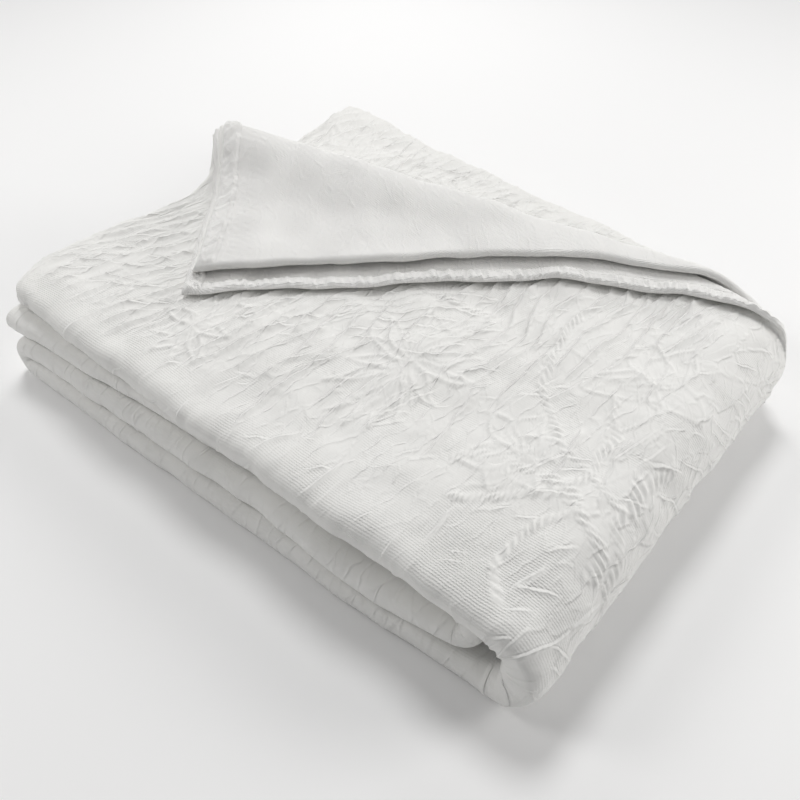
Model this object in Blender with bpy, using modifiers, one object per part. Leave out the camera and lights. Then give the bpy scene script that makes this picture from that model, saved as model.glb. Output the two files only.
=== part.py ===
"""Bedspread of quilted cotton, folded into a flat bundle with one corner turned back.

The cloth is one sheet. It is folded in five across its width into a strip, and the strip is
folded in four along its length. The upper three layers of the top strip are then turned back
at the left-hand rear corner, which shows their reverse side, their inner fold and the side hem.
Metres, +Z up, X along the long side, the origin under the middle of the bundle.
"""
import math

import bmesh
import bpy
import numpy as np

CLOTH = 0.003
LAYER_PITCH = 0.0056
STRIP_PITCH = 0.0268

# Height of each layer above the middle of its strip, in layer pitches.
TOP_LAYER = 2
INNER_UPPER = 1
INNER_END = 0
INNER_LOWER = -1
BOTTOM_LAYER = -2

# Where the strip's middle line turns round, along X.
LEFT_HEM = -0.310
OUTER_TURN = 0.280
LEFT_TURN = -0.296
INNER_TURN = 0.246
INNER_HEM = -0.322

OUTER_RADIUS = 1.5 * STRIP_PITCH
INNER_RADIUS = 0.5 * STRIP_PITCH
BOTTOM_HEIGHT = 0.5 * CLOTH + 2 * LAYER_PITCH

# The corner that is turned back.
FOLD_RADIUS = 0.75 * LAYER_PITCH
LEAN_SHARE = 1.2
FOLD_PUFF = 0.010
PUFF_LENGTH = 0.06
TIP_LIFT = 0.046
LIFT_WIDTH = 0.055
LIFT_LENGTH = 0.62
LIFT_ANGLE = math.radians(16.6)
LIFT_FADE = 1.5
TUCK = 0.018
TUCK_REACH = 0.035
LEAST_TONGUE = 0.1
MOST_TONGUE = 0.6
SLOPE_STEP = 0.01
SHORT_STEP = 0.001

# The front noses of the strips are fuller than half-round.
NOSE_FULLNESS = 2.4

END_CLEARANCE = 0.004
FOLD_SETBACK = 0.006
LEAST_BAND = 0.006
FRONT_SHARES = (0.09, 0.2, 0.36, 0.6, 1.0)

# The edges of the bundle from above: strip, place along X, front nose, back edge, nose depth.
EDGES = (
    ("top", -0.31, -0.251, 0.281, 0.015),
    ("top", -0.10, -0.259, 0.256, 0.018),
    ("top", 0.12, -0.262, 0.243, 0.020),
    ("top", 0.25, -0.262, 0.232, 0.020),
    ("top", 0.34, -0.265, 0.204, 0.020),
    ("bottom", 0.26, -0.264, 0.222, 0.015),
    ("bottom", 0.19, -0.269, 0.240, 0.013),
    ("bottom", 0.00, -0.270, 0.254, 0.013),
    ("bottom", -0.27, -0.271, 0.262, 0.012),
    ("lower", -0.26, -0.268, 0.264, 0.012),
    ("lower", 0.00, -0.262, 0.256, 0.013),
    ("lower", 0.23, -0.260, 0.248, 0.013),
    ("upper", 0.22, -0.240, 0.246, 0.012),
    ("upper", 0.00, -0.246, 0.254, 0.012),
    ("upper", -0.31, -0.266, 0.266, 0.012),
)

# The turned-back corner: place along the strip, its fold line, length of cloth beyond it.
TURNED_CORNER = (
    (-0.310, 0.039, 0.244),
    (-0.155, 0.085, 0.174),
    (0.000, 0.131, 0.106),
    (0.120, 0.166, 0.066),
    (0.210, 0.186, 0.048),
    (0.285, 0.190, 0.030),
    (0.325, 0.186, 0.014),
    (0.360, 0.184, 0.003),
    (0.390, 0.188, 0.0),
)

# Height kept by the bundle, 1 being full height: place along X, share left at that place.
SLUMP = (
    (-0.33, 0.955),
    (-0.24, 0.985),
    (0.00, 1.0),
    (0.20, 0.99),
    (0.35, 0.96),
)

# Droop of the top roll at the front, in half thicknesses: place along X, droop.
ROLL_DROOP = (
    (-0.33, 0.1),
    (-0.20, 0.5),
    (-0.05, 0.8),
    (0.20, 0.8),
    (0.27, 0.9),
    (0.32, 1.5),
)
DROOP_FRONT = -0.235
DROOP_BACK = -0.15
DROOP_RUN = 0.06
FRONT_SLOPE = 0.03

# Bulge of the top strip's left end: place along Y, shift along X.
END_BULGE = (
    (-0.26, -0.006),
    (-0.20, -0.032),
    (-0.15, -0.026),
    (-0.10, -0.016),
    (-0.04, -0.005),
    (0.05, -0.010),
    (0.15, -0.005),
    (0.28, -0.012),
)
BULGE_END = -0.12
BULGE_RUN = 0.19

# Middle of the bundle's box before it is set over the origin.
CENTRE_X = 0.00316
CENTRE_Y = 0.0044

STRAIGHT_STEPS = 6
TOP_SHARES = (0.17, 0.33, 0.48, 0.61, 0.72, 0.81, 0.88, 0.94, 1.0)
OUTER_TURN_STEPS = 8
INNER_TURN_STEPS = 5
NOSE_STEPS = 6
INNER_NOSE_STEPS = 4
BACK_FOLD_STEPS = 3
LAYER_STEPS = 3
BAND_STEPS = 4
BEND_STEPS = 4

COTTON_WHITE = (0.78, 0.78, 0.75, 1.0)


def clear_scene():
    for scene_object in list(bpy.data.objects):
        bpy.data.objects.remove(scene_object, do_unlink=True)


def smooth_through(table, place):
    """Smooth curve through a table's rows of place and value, held level past both ends."""
    places = np.array([row[0] for row in table])
    values = np.array([row[1] for row in table])
    slopes = np.gradient(values, places)
    place = np.clip(place, places[0], places[-1])
    index = np.clip(np.searchsorted(places, place) - 1, 0, len(places) - 2)
    span = places[index + 1] - places[index]
    share = (place - places[index]) / span
    start = (1 + 2 * share) * (1 - share) ** 2 * values[index]
    end = share ** 2 * (3 - 2 * share) * values[index + 1]
    leaving = share * (1 - share) ** 2 * span * slopes[index]
    arriving = share ** 2 * (share - 1) * span * slopes[index + 1]
    return start + end + leaving + arriving


def even_shares(steps):
    return [step / steps for step in range(1, steps + 1)]


def strip_stretches():
    """Stretches of the strip's middle line: name, length, shares of it that have a column."""
    return (
        ("top", OUTER_TURN - LEFT_HEM, TOP_SHARES),
        ("outer turn", math.pi * OUTER_RADIUS, even_shares(OUTER_TURN_STEPS)),
        ("bottom", OUTER_TURN - LEFT_TURN, even_shares(STRAIGHT_STEPS)),
        ("left turn", math.pi * INNER_RADIUS, even_shares(INNER_TURN_STEPS)),
        ("lower", INNER_TURN - LEFT_TURN, even_shares(STRAIGHT_STEPS)),
        ("inner turn", math.pi * INNER_RADIUS, even_shares(INNER_TURN_STEPS)),
        ("upper", INNER_TURN - INNER_HEM, even_shares(STRAIGHT_STEPS)),
    )


def stretch_starts():
    """Place along the strip at which each stretch starts; the top one counts from its X."""
    starts = {}
    place = LEFT_HEM
    for name, length, _ in strip_stretches():
        starts[name] = place
        place += length
    return starts


STARTS = stretch_starts()


def along_strip(strip, x):
    """Place along the strip of a point of one of its four straight runs."""
    if strip in ("top", "lower"):
        first = LEFT_HEM if strip == "top" else LEFT_TURN
        return STARTS[strip] + x - first
    first = OUTER_TURN if strip == "bottom" else INNER_TURN
    return STARTS[strip] + first - x


FRONT_EDGE = [(along_strip(row[0], row[1]), row[2]) for row in EDGES]
BACK_EDGE = [(along_strip(row[0], row[1]), row[3]) for row in EDGES]
NOSE_DEPTH = [(along_strip(row[0], row[1]), row[4]) for row in EDGES]
FOLD_LINE = [(row[0], row[1]) for row in TURNED_CORNER]
TURNED_LENGTH = [(row[0], row[2]) for row in TURNED_CORNER]


def middle_line(place):
    """X and Z of the strip's middle line, and the X and Z of its upper side's direction."""
    x = np.array(place, dtype=float)
    z = np.full_like(x, BOTTOM_HEIGHT + 3 * STRIP_PITCH)
    side_x = np.zeros_like(x)
    side_z = np.ones_like(x)

    turn = (place - STARTS["outer turn"]) / OUTER_RADIUS
    inside = place > STARTS["outer turn"]
    turn = np.clip(turn, 0, math.pi)
    x = np.where(inside, OUTER_TURN + OUTER_RADIUS * np.sin(turn), x)
    z = np.where(inside, BOTTOM_HEIGHT + OUTER_RADIUS * (1 + np.cos(turn)), z)
    side_x = np.where(inside, np.sin(turn), side_x)
    side_z = np.where(inside, np.cos(turn), side_z)

    inside = place > STARTS["bottom"]
    x = np.where(inside, OUTER_TURN - (place - STARTS["bottom"]), x)

    turn = np.clip((place - STARTS["left turn"]) / INNER_RADIUS, 0, math.pi)
    inside = place > STARTS["left turn"]
    x = np.where(inside, LEFT_TURN - INNER_RADIUS * np.sin(turn), x)
    z = np.where(inside, BOTTOM_HEIGHT + INNER_RADIUS * (1 - np.cos(turn)), z)
    side_x = np.where(inside, -np.sin(turn), side_x)
    side_z = np.where(inside, -np.cos(turn), side_z)

    inside = place > STARTS["lower"]
    x = np.where(inside, LEFT_TURN + (place - STARTS["lower"]), x)

    turn = np.clip((place - STARTS["inner turn"]) / INNER_RADIUS, 0, math.pi)
    inside = place > STARTS["inner turn"]
    height = BOTTOM_HEIGHT + STRIP_PITCH + INNER_RADIUS * (1 - np.cos(turn))
    x = np.where(inside, INNER_TURN + INNER_RADIUS * np.sin(turn), x)
    z = np.where(inside, height, z)
    side_x = np.where(inside, -np.sin(turn), side_x)
    side_z = np.where(inside, np.cos(turn), side_z)

    inside = place > STARTS["upper"]
    x = np.where(inside, INNER_TURN - (place - STARTS["upper"]), x)
    return x, z, side_x, side_z


def front_centre(place):
    """Middle of the rounded front nose of the strip."""
    depth = smooth_through(NOSE_DEPTH, place)
    return smooth_through(FRONT_EDGE, place) + depth + 0.5 * CLOTH


def fold_line(place):
    """Line about which the upper layers turn back, or their back edge where they lie flat."""
    line = smooth_through(FOLD_LINE, place)
    back = smooth_through(BACK_EDGE, place)
    return np.where(place < FOLD_LINE[-1][0], np.minimum(line, back), back)


def fold_angle(place):
    """Direction of the fold line, seen from above."""
    inner = np.clip(place, FOLD_LINE[0][0] + SLOPE_STEP, FOLD_LINE[-1][0] - SLOPE_STEP)
    ahead = smooth_through(FOLD_LINE, inner + SLOPE_STEP)
    behind = smooth_through(FOLD_LINE, inner - SLOPE_STEP)
    return np.arctan2(ahead - behind, 2 * SLOPE_STEP)


def turned_length(place):
    return np.maximum(smooth_through(TURNED_LENGTH, place), 0)


def corner_lift(place, across):
    """Rise of the turned-back corner, highest at its tip and along its fold line."""
    run = place - LEFT_HEM
    rise = across - FOLD_LINE[0][1]
    along = run * math.cos(LIFT_ANGLE) + rise * math.sin(LIFT_ANGLE)
    behind = rise * math.cos(LIFT_ANGLE) - run * math.sin(LIFT_ANGLE)
    fade = np.exp(-(np.minimum(behind, 0) / LIFT_WIDTH) ** 2)
    return TIP_LIFT * np.clip(1 - along / LIFT_LENGTH, 0, 1) ** LIFT_FADE * fade


def left_share(x):
    """Share of the bundle's left end, 1 at its tip and fading out toward the middle."""
    return np.clip((BULGE_END - x) / BULGE_RUN, 0, 1) ** 2


def corner_tuck(place, beyond):
    """Shift along X that draws a layer in under the lifted tip, in front of the fold line."""
    reach = np.maximum(-beyond, 0) / TUCK_REACH
    return TUCK * reach * np.exp(1 - reach) * left_share(place)


def upper_layer(place, beyond, level):
    """A point of a turned-back layer, by its length of cloth beyond the fold line."""
    axis = TOP_LAYER * LAYER_PITCH + FOLD_RADIUS
    radius = axis - level * LAYER_PITCH
    cloth = np.maximum(beyond, 0)
    angle = np.minimum(cloth / radius, math.pi)
    laid = cloth - angle * radius
    back = radius * np.sin(angle) - laid
    line = fold_angle(place)
    slide = LEAN_SHARE * np.tan(line) * cloth
    along = place + slide * np.cos(line) - back * np.sin(line)
    across = fold_line(place) + slide * np.sin(line) + back * np.cos(line)
    along = along + corner_tuck(place, beyond)
    across = across + np.minimum(beyond, 0)
    height = axis - radius * np.cos(angle)
    puff = 0.5 * (TOP_LAYER - level) * FOLD_PUFF * (1 - np.exp(-laid / PUFF_LENGTH))
    return np.array((along, across, height + puff + corner_lift(along, across)))


def fold_reach(place, level):
    """Length of a layer beyond the fold line, out to the inner fold that two layers share."""
    axis = TOP_LAYER + FOLD_RADIUS / LAYER_PITCH
    shared = (axis - 0.5 * (INNER_UPPER + INNER_END)) * LAYER_PITCH
    radius = (axis - level) * LAYER_PITCH
    reach = np.maximum(turned_length(place) - FOLD_SETBACK, 0)
    angle = np.minimum(reach / shared, math.pi)
    return reach - angle * shared + angle * radius


def cut_and_bend(level, reach):
    """Length from a layer's edge to its flat part, and how much of it is in the bend."""
    radius = TOP_LAYER * LAYER_PITCH + FOLD_RADIUS - level * LAYER_PITCH
    bend = math.pi * radius
    return np.maximum(reach, bend + LEAST_BAND), bend


def layer_lengths(place, level, reach):
    """Lengths beyond the fold line at which a turned-back layer has its rows, edge first.

    The rows of the layer with the side hem lie under those of the two layers above it.
    """
    cut, bend = cut_and_bend(level, reach)
    rows = [reach]
    tongue = 0
    if level == TOP_LAYER:
        above, above_bend = cut_and_bend(INNER_END, fold_reach(place, INNER_END))
        tongue = 1 - (above - above_bend) / (cut - bend)
        tongue = np.clip(tongue, LEAST_TONGUE, MOST_TONGUE)
        rows.append(reach - (cut - bend) * tongue)
    for step in range(1, BAND_STEPS + 1):
        rows.append(reach - (cut - bend) * (tongue + (1 - tongue) * step / BAND_STEPS))
    for step in range(1, BEND_STEPS + 1):
        rows.append(reach - cut + bend * (1 - step / BEND_STEPS))
    start = reach - cut
    end = front_centre(place) - fold_line(place)
    for share in FRONT_SHARES:
        rows.append(start + (end - start) * share)
    return rows


def flat_layer(place, across, level):
    height = np.full_like(place, level * LAYER_PITCH)
    return np.array((place, across, height))


def nose(place, middle, level, depth, half, steps, upward):
    """Rows of a rounded front turn of the section, without its first and last."""
    rows = []
    for step in range(1, steps):
        angle = math.pi * step / steps
        power = 2 / NOSE_FULLNESS
        across = middle - depth * math.sin(angle) ** power
        rise = half * math.copysign(abs(math.cos(angle)) ** power, math.cos(angle))
        rise = -rise if upward else rise
        rows.append(np.array((place, across, np.full_like(place, level + rise))))
    return rows


def back_fold(place, middle, level, radius):
    """Rows of a half-round back turn of the section, without its first and last."""
    rows = []
    for step in range(1, BACK_FOLD_STEPS):
        angle = math.pi * step / BACK_FOLD_STEPS
        height = np.full_like(place, level - radius * math.cos(angle))
        rows.append(np.array((place, middle + radius * math.sin(angle), height)))
    return rows


def shared_fold(place):
    """Rows of the inner fold between the second layer and the free end layer."""
    upper = upper_layer(place, fold_reach(place, INNER_UPPER), INNER_UPPER)
    lower = upper_layer(place, fold_reach(place, INNER_END), INNER_END)
    middle_level = 0.5 * (INNER_UPPER + INNER_END)
    reach = fold_reach(place, middle_level)
    near = upper_layer(place, reach, middle_level)
    far = upper_layer(place, reach + SHORT_STEP, middle_level)
    outward = (far - near) / np.linalg.norm(far - near, axis=0)
    rows = []
    for step in range(1, BACK_FOLD_STEPS):
        angle = math.pi * step / BACK_FOLD_STEPS
        middle = 0.5 * (upper + lower) + 0.5 * (upper - lower) * math.cos(angle)
        half = 0.5 * np.linalg.norm(upper - lower, axis=0)
        rows.append(middle + outward * half * math.sin(angle))
    return rows


def strip_rows(place):
    """The strip's section as rows of points, from the side hem to the free end inside."""
    centre = front_centre(place)
    depth = smooth_through(NOSE_DEPTH, place)
    back = smooth_through(BACK_EDGE, place) - 0.5 * (LAYER_PITCH + CLOTH)
    pitch = LAYER_PITCH
    hem = turned_length(place)
    rows = []

    for length in layer_lengths(place, TOP_LAYER, hem):
        rows.append(upper_layer(place, length, TOP_LAYER))
    rows += nose(place, centre, 0, depth, 2 * pitch, NOSE_STEPS, False)
    for step in range(LAYER_STEPS + 1):
        across = centre + (back - centre) * step / LAYER_STEPS
        rows.append(flat_layer(place, across, BOTTOM_LAYER))
    rows += back_fold(place, back, -1.5 * pitch, 0.5 * pitch)
    for step in range(LAYER_STEPS + 1):
        across = back + (centre - back) * step / LAYER_STEPS
        rows.append(flat_layer(place, across, INNER_LOWER))
    rows += nose(place, centre, 0, 0.5 * depth, pitch, INNER_NOSE_STEPS, True)
    for length in reversed(layer_lengths(place, INNER_UPPER, fold_reach(place, INNER_UPPER))):
        rows.append(upper_layer(place, length, INNER_UPPER))
    rows += shared_fold(place)
    free = layer_lengths(place, INNER_END, fold_reach(place, INNER_END))
    free[-1] = free[-1] + END_CLEARANCE
    for length in free:
        rows.append(upper_layer(place, length, INNER_END))
    return rows


def strip_places():
    """Places along the strip of the sheet's columns."""
    places = [LEFT_HEM]
    for name, length, shares in strip_stretches():
        for share in shares:
            places.append(STARTS[name] + length * share)
    return np.array(places)


def soft_step(start, end, value):
    share = np.clip((value - start) / (end - start), 0, 1)
    return share * share * (3 - 2 * share)


def lay_down(row, places):
    """Wrap a row of the strip along the folded middle line and let the bundle slump."""
    x, z, side_x, side_z = middle_line(row[0])
    y = row[1]
    front = 1 - soft_step(DROOP_FRONT, DROOP_BACK, y)
    droop = smooth_through(ROLL_DROOP, x) * front
    half = 2 * LAYER_PITCH + 0.5 * CLOTH

    outer = 1 - soft_step(STARTS["bottom"] - DROOP_RUN, STARTS["bottom"], places)
    offset = row[2] * np.where(row[2] < 0, 1 + droop * outer, 1)
    x = x + offset * side_x
    z = z + offset * side_z - 0.5 * CLOTH
    squash = droop * half * np.clip(z / STRIP_PITCH - 2, 0, 1)
    z = z - np.where(places > STARTS["left turn"], squash, 0)

    z = 0.5 * CLOTH + z * smooth_through(SLUMP, x) * (1 - FRONT_SLOPE * front)
    bulge = smooth_through(END_BULGE, y) * left_share(x)
    x = x + np.where(places < STARTS["outer turn"], bulge, 0)
    return np.array((x - CENTRE_X, y - CENTRE_Y, z))


def folded_points():
    """Points of the folded sheet, as rows across by columns along."""
    places = strip_places()
    return np.array([lay_down(row, places).T for row in strip_rows(places)])


def fold_sheet():
    """A flat grid with a row of faces for each step of the section, moved into its folds."""
    points = folded_points()
    row_count, column_count, _ = points.shape
    sheet = bmesh.new()
    bmesh.ops.create_grid(sheet, x_segments=column_count - 1, y_segments=row_count - 1, size=0.5)
    for vertex in sheet.verts:
        column = round((vertex.co.x + 0.5) * (column_count - 1))
        row = round((vertex.co.y + 0.5) * (row_count - 1))
        vertex.co = points[row, column]
    bmesh.ops.recalc_face_normals(sheet, faces=sheet.faces)
    mesh = bpy.data.meshes.new("bedspread")
    sheet.to_mesh(mesh)
    sheet.free()
    return mesh


def cotton():
    material = bpy.data.materials.new("white_quilted_cotton")
    material.use_nodes = True
    shader = material.node_tree.nodes["Principled BSDF"]
    shader.inputs["Base Color"].default_value = COTTON_WHITE
    shader.inputs["Roughness"].default_value = 0.9
    shader.inputs["Metallic"].default_value = 0.0
    return material


def build():
    clear_scene()
    collection = bpy.data.collections.new("bedspread")
    bpy.context.scene.collection.children.link(collection)
    mesh = fold_sheet()
    mesh.materials.append(cotton())
    mesh.shade_smooth()
    bedspread = bpy.data.objects.new("bedspread", mesh)
    collection.objects.link(bedspread)
    thickness = bedspread.modifiers.new("cloth", "SOLIDIFY")
    thickness.thickness = CLOTH
    thickness.offset = 0.0


build()
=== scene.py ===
"""Folded bedspread of quilted white cotton: the cloth's relief, hems and weave, light and camera.

The cloth is one sheet, folded as its solid is, with the same folds and sizes but finer. It is
made here as a few stretches that meet along its folds, so that the visible ones can be fine.
Metres, +Z up, X along the long side.
"""
import math

import bpy
import numpy as np
from mathutils import Matrix, Vector


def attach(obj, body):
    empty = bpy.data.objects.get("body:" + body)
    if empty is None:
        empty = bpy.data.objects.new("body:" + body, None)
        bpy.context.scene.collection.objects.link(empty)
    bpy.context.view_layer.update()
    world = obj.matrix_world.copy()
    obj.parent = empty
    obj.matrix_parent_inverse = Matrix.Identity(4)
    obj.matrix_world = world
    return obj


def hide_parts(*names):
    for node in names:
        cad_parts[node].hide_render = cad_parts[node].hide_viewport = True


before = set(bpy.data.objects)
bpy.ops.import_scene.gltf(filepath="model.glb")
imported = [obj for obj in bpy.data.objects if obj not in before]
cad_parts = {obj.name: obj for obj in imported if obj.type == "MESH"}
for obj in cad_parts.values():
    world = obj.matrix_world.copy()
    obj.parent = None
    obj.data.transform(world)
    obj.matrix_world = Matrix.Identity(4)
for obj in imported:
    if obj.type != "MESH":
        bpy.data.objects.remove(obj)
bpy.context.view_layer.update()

NODE = "bedspread"

# The solid's folds: thickness of the cloth, spacing of its layers and of the strips.
CLOTH = 0.003
LAYER_PITCH = 0.0056
STRIP_PITCH = 0.0268
TOP_LAYER = 2
INNER_UPPER = 1
INNER_END = 0
INNER_LOWER = -1
BOTTOM_LAYER = -2
LEFT_HEM = -0.310
OUTER_TURN = 0.280
LEFT_TURN = -0.296
INNER_TURN = 0.246
INNER_HEM = -0.322
OUTER_RADIUS = 1.5 * STRIP_PITCH
INNER_RADIUS = 0.5 * STRIP_PITCH
BOTTOM_HEIGHT = 0.5 * CLOTH + 2 * LAYER_PITCH
FOLD_RADIUS = 0.75 * LAYER_PITCH
REAR_MIDDLE = -1.5 * LAYER_PITCH
LEAN_SHARE = 1.2
FOLD_PUFF = 0.006
PUFF_LENGTH = 0.06
TIP_LIFT = 0.046
LIFT_WIDTH = 0.055
LIFT_LENGTH = 0.62
LIFT_ANGLE = math.radians(16.6)
LIFT_FADE = 1.5
TUCK = 0.018
TUCK_REACH = 0.035
SLOPE_STEP = 0.01
SHORT_STEP = 0.001
NOSE_FULLNESS = 2.4
FOLD_SETBACK = 0.006
LEAST_BAND = 0.006
HEM_CROWD = 1.7
REAR_HIDDEN_ROWS = 10
REAR_FOLD_GAP = 0.03
REAR_EDGE_GAP = 0.02

# The edges of the bundle from above: strip, place along X, front nose, back edge, nose depth.
EDGES = (
    ("top", -0.31, -0.251, 0.281, 0.015),
    ("top", -0.10, -0.259, 0.256, 0.018),
    ("top", 0.12, -0.262, 0.243, 0.020),
    ("top", 0.25, -0.262, 0.232, 0.020),
    ("top", 0.34, -0.265, 0.204, 0.020),
    ("bottom", 0.26, -0.264, 0.222, 0.015),
    ("bottom", 0.19, -0.269, 0.240, 0.013),
    ("bottom", 0.00, -0.270, 0.254, 0.013),
    ("bottom", -0.27, -0.271, 0.262, 0.012),
    ("lower", -0.26, -0.268, 0.264, 0.012),
    ("lower", 0.00, -0.262, 0.256, 0.013),
    ("lower", 0.23, -0.260, 0.248, 0.013),
    ("upper", 0.22, -0.240, 0.246, 0.012),
    ("upper", 0.00, -0.246, 0.254, 0.012),
    ("upper", -0.31, -0.266, 0.266, 0.012),
)

# The turned-back corner: place along the strip, its fold line, length of cloth beyond it.
TURNED_CORNER = (
    (-0.310, 0.039, 0.244),
    (-0.155, 0.085, 0.174),
    (0.000, 0.131, 0.106),
    (0.120, 0.166, 0.066),
    (0.210, 0.186, 0.045),
    (0.285, 0.190, 0.020),
    (0.325, 0.186, 0.005),
    (0.360, 0.184, 0.0),
    (0.390, 0.188, 0.0),
)

# Height kept by the bundle, 1 being full height: place along X, share left at that place.
SLUMP = (
    (-0.33, 0.955),
    (-0.24, 0.985),
    (0.00, 1.0),
    (0.20, 0.99),
    (0.35, 0.96),
)

# Droop of the top roll at the front, in half thicknesses: place along X, droop.
ROLL_DROOP = (
    (-0.33, 0.1),
    (-0.20, 0.5),
    (-0.05, 0.8),
    (0.20, 0.8),
    (0.27, 0.9),
    (0.32, 1.5),
)
DROOP_FRONT = -0.235
DROOP_BACK = -0.15
DROOP_RUN = 0.06
FRONT_SLOPE = 0.03

# Bulge of the top strip's left end: place along Y, shift along X.
END_BULGE = (
    (-0.26, -0.006),
    (-0.20, -0.032),
    (-0.15, -0.026),
    (-0.10, -0.016),
    (-0.04, -0.005),
    (0.05, -0.010),
    (0.15, -0.005),
    (0.28, -0.012),
)
BULGE_END = -0.12
BULGE_RUN = 0.19
CENTRE_X = 0.00316
CENTRE_Y = 0.0044

# Spacing of the mesh along the strip: the seen stretches, and the others.
FINE_SPACING = 0.0021
PLAIN_SPACING = 0.0042

# Rows of the section, in the order in which the cloth runs: block, rows on the top strip,
# rows on the other strips.
BLOCKS = (
    ("hem", 40, 2),
    ("hem bend", 8, 2),
    ("top", 215, 12),
    ("nose", 26, 30),
    ("under", 12, 6),
    ("back fold", 8, 5),
    ("rear", 96, 6),
    ("inner nose", 6, 5),
    ("second", 8, 5),
    ("second bend", 6, 2),
    ("second band", 10, 2),
    ("shared fold", 10, 5),
    ("corner", 80, 2),
    ("corner bend", 12, 2),
    ("free end", 8, 5),
)

# Smooth noise: size of its table, gain; number of plane waves in a slow wave; the least length
# that a direction is divided by.
NOISE_SIZE = 64
NOISE_GAIN = 1.5
WAVE_COUNT = 7
NEAR_ZERO = 1e-12

# Slow unevenness of the whole bundle: wavelength, height.
WAVES = (
    (0.120, 0.0016),
    (0.050, 0.0006),
)
WAVE_FLOOR = 0.020

# Families of pleats in which the woven-in threads gather the cloth: seed, lean in degrees,
# spacing, usual length, height, steep width, soft width, bend, bend length, lowest strength.
PLEATS = (
    (11, 16, 0.0140, 0.115, 0.0018, 0.0012, 0.0036, 0.009, 0.085, 0.25),
    (23, -2, 0.0190, 0.095, 0.0018, 0.0012, 0.0036, 0.011, 0.085, 0.28),
    (37, 48, 0.0120, 0.036, 0.0011, 0.0010, 0.0021, 0.007, 0.036, 0.25),
)
ROUGH_LENGTH = 0.0045
ROUGH_SHARE = 0.26

# Each pleat's line: its finer wobble (share, rates along and across), the step and least value of
# its slope, the strength at which it shows, and where its lines lie in the noise.
PLEAT_WOBBLE = (0.22, 3.7, 3)
PLEAT_STEP = 0.0005
PLEAT_SLOPE = 0.02
PLEAT_FADE = (-0.1, 0.3)
PLEAT_THRESHOLD = 1.15
LINE_OFFSET = 0.5
LENGTH_STRIDE = 3.618
ROUGH_STRIDE = 5.3

# Where each family is strong on the top and at the back: family, place along the strip,
# distance across the cloth, reach along, reach across, strength.
PATCHES = (
    (0, -0.22, 0.14, 0.22, 0.17, 1.05),
    (0, 0.00, 0.12, 0.14, 0.09, 0.60),
    (0, -0.12, 0.36, 0.30, 0.12, 0.90),
    (0, 0.20, 0.42, 0.16, 0.08, 0.80),
    (0, -0.05, -0.66, 0.60, 0.20, 1.10),
    (1, 0.16, 0.34, 0.16, 0.14, 0.95),
    (1, 0.26, 0.19, 0.10, 0.09, 0.70),
    (1, 0.06, 0.17, 0.17, 0.12, 0.95),
    (1, -0.15, -0.62, 0.40, 0.14, 0.80),
    (2, 0.02, 0.24, 0.16, 0.12, 0.80),
    (2, 0.36, 0.33, 0.09, 0.25, 0.75),
    (2, -0.24, 0.10, 0.12, 0.07, 0.75),
    (2, 0.24, 0.15, 0.09, 0.05, 0.60),
    (2, 0.10, -0.62, 0.40, 0.16, 0.90),
)

# Where the pleats of the top end and grow weaker, and the bend of the motifs.
PATCH_LIMIT = 0.42
BARE_NOSE = (0.008, 0.060)
END_START = (0.30, 0.36)
NOSE_STRENGTH = 0.37
LOOSE_STRENGTH = 0.34
MOTIF_BEND = 0.007
MOTIF_BEND_LENGTH = 0.035
MOTIF_BREAK = 0.018
MOTIF_SEEDS = (61, 62, 63)
MOTIF_WORN = (0.62, 0.38)
COVERED_PLEATS = 0.55

# Flowers in the weave: place along the strip, distance from the front nose, petal length,
# petal half width, number of petals, turn in degrees, share of length lost at the sides.
FLOWERS = (
    (0.070, 0.180, 0.105, 0.0065, 15, 8, 0.45),
    (0.255, 0.300, 0.066, 0.0210, 5, 24, 0.10),
    (0.205, 0.150, 0.050, 0.0130, 6, 50, 0.10),
    (-0.215, 0.245, 0.085, 0.0080, 11, 15, 0.40),
    (-0.120, 0.085, 0.060, 0.0075, 9, 0, 0.35),
    (-0.230, -0.620, 0.075, 0.0120, 8, 20, 0.20),
    (-0.060, -0.600, 0.080, 0.0090, 10, 65, 0.20),
    (0.130, -0.590, 0.060, 0.0120, 7, 10, 0.20),
)
PETAL_SPREAD = 0.50
PETAL_FORM = 0.8
PETAL_RISE = 0.0010
PETAL_EDGE = 0.006
OUTLINE_RISE = 0.0021
OUTLINE_WIDTH = 0.0020
VEIN_SPACING = 0.0075
VEIN_RUN = 0.050
VEIN_RISE = 0.0009
VEIN_WIDTH = 0.16
VEIN_SEED = 50
VEIN_FADE = (0.85, 0.2)
PETAL_TURN = 0.12
PETAL_REACH = (0.85, 1.1)
PETAL_RIM = 0.002
FLOWER_REACH = 1.3

# Ground between the motifs: patch sizes across and along, seed, least and added share, the
# noise over which it fades in, and the pleat heights over which it fades out.
GROUND_PATCH = (0.050, 0.042, 64)
GROUND_SHARE = (0.10, 0.75)
GROUND_FADE = (0.0, 0.35)
GROUND_PLEATED = (0.0010, 0.0003)

# Coarser ground: place along the strip, distance across, reach along, reach across, strength.
COARSE_GROUND = (
    (0.255, 0.050, 0.070, 0.045, 2.2),
    (0.120, 0.015, 0.160, 0.030, 1.1),
    (-0.200, 0.020, 0.160, 0.032, 1.4),
)

# Corded bands in the weave: centre along the strip, its distance from the front nose,
# radius, first and last angle in degrees.
BANDS = (
    (0.150, 0.190, 0.115, -75, 40),
    (0.330, 0.330, 0.175, 175, 262),
    (0.240, 0.060, 0.085, 20, 150),
    (0.330, 0.080, 0.075, 120, 230),
    (0.020, 0.420, 0.150, 215, 300),
    (0.420, 0.180, 0.120, 150, 235),
)
BAND_HALF = 0.0042
BAND_RISE = 0.0032
BEAD_LENGTH = 0.0085
BEAD_SLANT = 1.2
BEAD_SHARE = (0.45, 0.55)
BAND_TAPER = 6

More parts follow.
